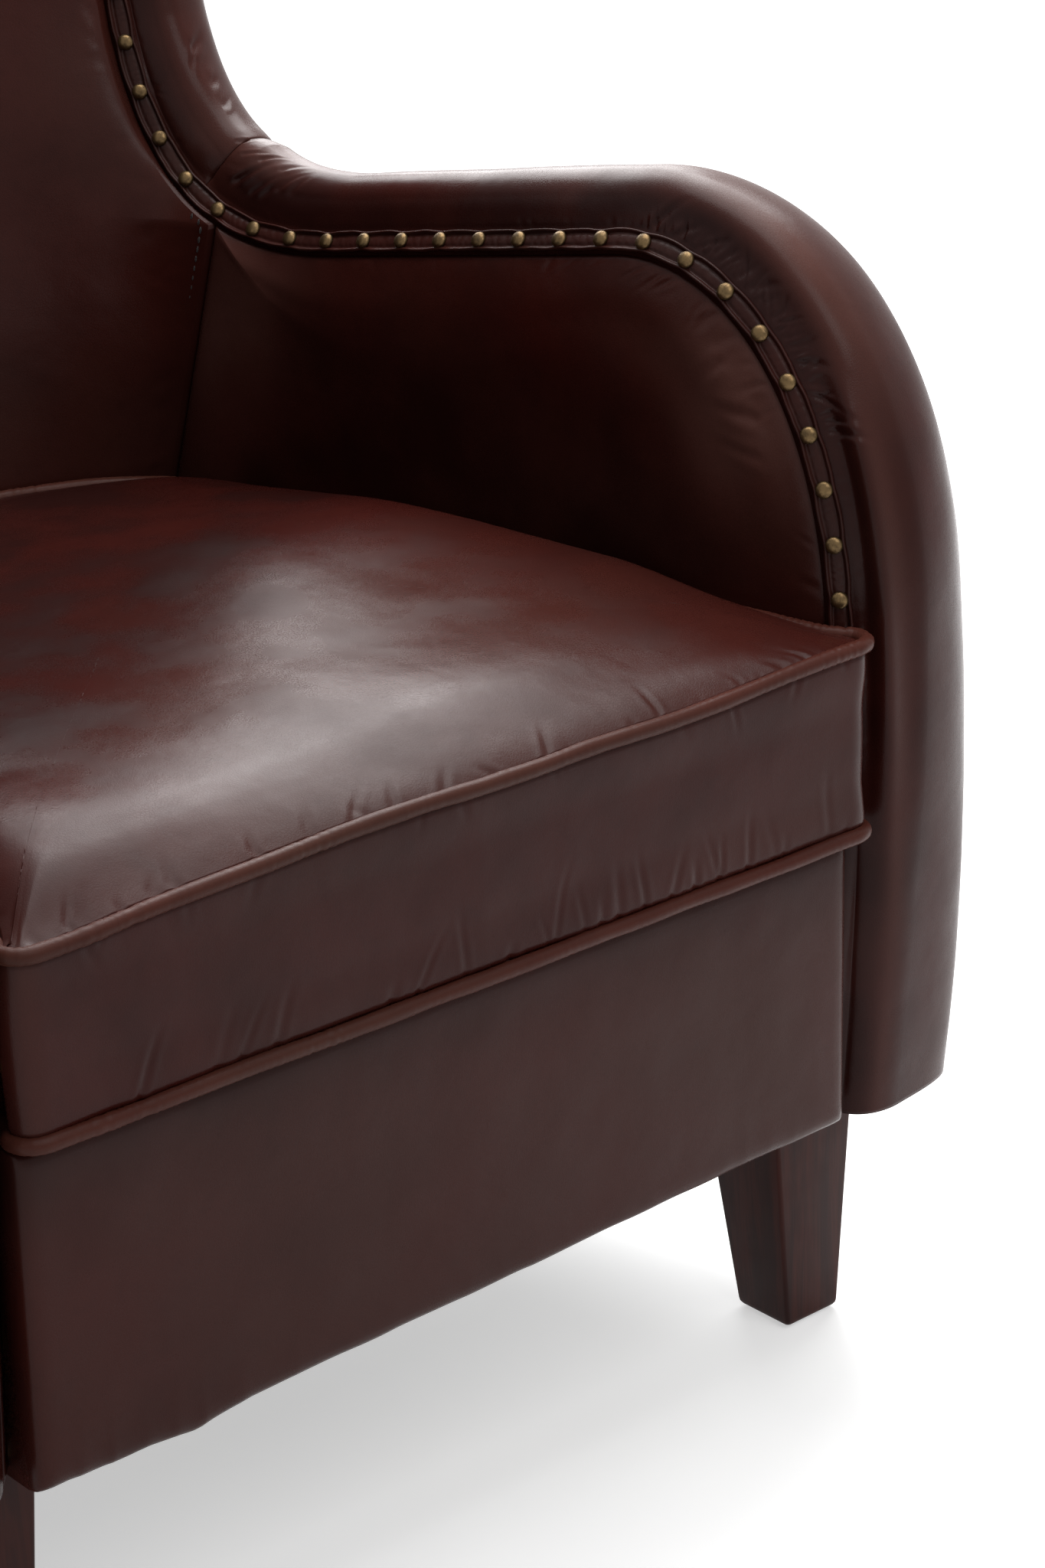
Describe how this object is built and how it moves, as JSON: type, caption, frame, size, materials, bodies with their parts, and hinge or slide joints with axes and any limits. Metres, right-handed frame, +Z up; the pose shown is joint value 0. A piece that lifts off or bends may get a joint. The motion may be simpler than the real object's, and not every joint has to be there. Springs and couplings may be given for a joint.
{
  "type": "wing armchair",
  "caption": "Leather wing armchair with curved padded arms, a nailed trim line, a loose piped seat cushion and tapered wooden legs.",
  "frame": {"origin": "on the floor, under the middle of the whole chair", "axes": "+Z up, the seat faces -Y, +X is the right-hand side as seen from the front"},
  "size_m": [0.7684, 0.8142, 1.033],
  "materials": {
    "leather": "waxed two-tone burgundy-brown leather, semi-gloss, mottled and lightly creased",
    "piping_leather": "the same leather wrapped round a cord, lighter on its crown",
    "trim_leather": "folded leather strip, puckered between its nails",
    "nail_brass": "antiqued domed nail heads, satin",
    "seam_thread": "dark bonded thread",
    "leg_wood": "dark mahogany stain, satin lacquer",
    "frame_wood": "raw sawn hardwood",
    "spring_steel": "oiled spring wire and plated bolts",
    "foam": "open-cell foam",
    "dark_cloth": "non-woven black lining cloth",
    "glide_plastic": "moulded nylon glide",
    "zip_tape": "woven zip tape"
  },
  "bodies": {
    "frame": {"right_front_arm_post": "frame_wood", "right_arm_rail": "frame_wood", "right_wing_frame": "frame_wood", "right_side_rail": "frame_wood", "right_back_post": "frame_wood", "right_inside_arm_pad": "leather", "right_outside_arm_panel": "leather", "right_outside_wing_panel": "leather", "right_arm_band": "leather", "right_wing_band": "leather", "right_nail_trim": "trim_leather", "left_front_arm_post": "frame_wood", "left_arm_rail": "frame_wood", "left_wing_frame": "frame_wood", "left_side_rail": "frame_wood", "left_back_post": "frame_wood", "left_inside_arm_pad": "leather", "left_outside_arm_panel": "leather", "left_outside_wing_panel": "leather", "left_arm_band": "leather", "left_wing_band": "leather", "left_nail_trim": "trim_leather", "front_right_corner_block": "frame_wood", "front_right_leg": "leg_wood", "front_right_leg_bolt": "spring_steel", "front_right_glide": "glide_plastic", "rear_right_corner_block": "frame_wood", "rear_right_leg": "leg_wood", "rear_right_leg_bolt": "spring_steel", "rear_right_glide": "glide_plastic", "front_left_corner_block": "frame_wood", "front_left_leg": "leg_wood", "front_left_leg_bolt": "spring_steel", "front_left_glide": "glide_plastic", "rear_left_corner_block": "frame_wood", "rear_left_leg": "leg_wood", "rear_left_leg_bolt": "spring_steel", "rear_left_glide": "glide_plastic", "front_seat_rail": "frame_wood", "rear_seat_rail": "frame_wood", "top_back_rail": "frame_wood", "lower_back_rail": "frame_wood", "back_webbing": "dark_cloth", "front_border": "leather", "inside_back_pad": "leather", "outside_back_panel": "leather", "crest_band": "leather", "crest_nail_trim": "trim_leather", "seat_spring_1": "spring_steel", "seat_spring_2": "spring_steel", "seat_spring_3": "spring_steel", "seat_spring_4": "spring_steel", "spring_cover": "dark_cloth", "seat_deck": "dark_cloth", "dust_cover": "dark_cloth"},
    "cushion": {"seat_cushion_cover": "leather", "seat_cushion_zip": "zip_tape", "seat_cushion_foam": "foam", "cushion_lower_piping": "piping_leather", "cushion_upper_piping": "piping_leather"}
  },
  "joints": [
    {"name": "seat_cushion_lift", "type": "slide", "parent": "frame", "child": "cushion", "axis": [0, -0.5, 0.866], "range_m": [0, 0.25]}
  ]
}
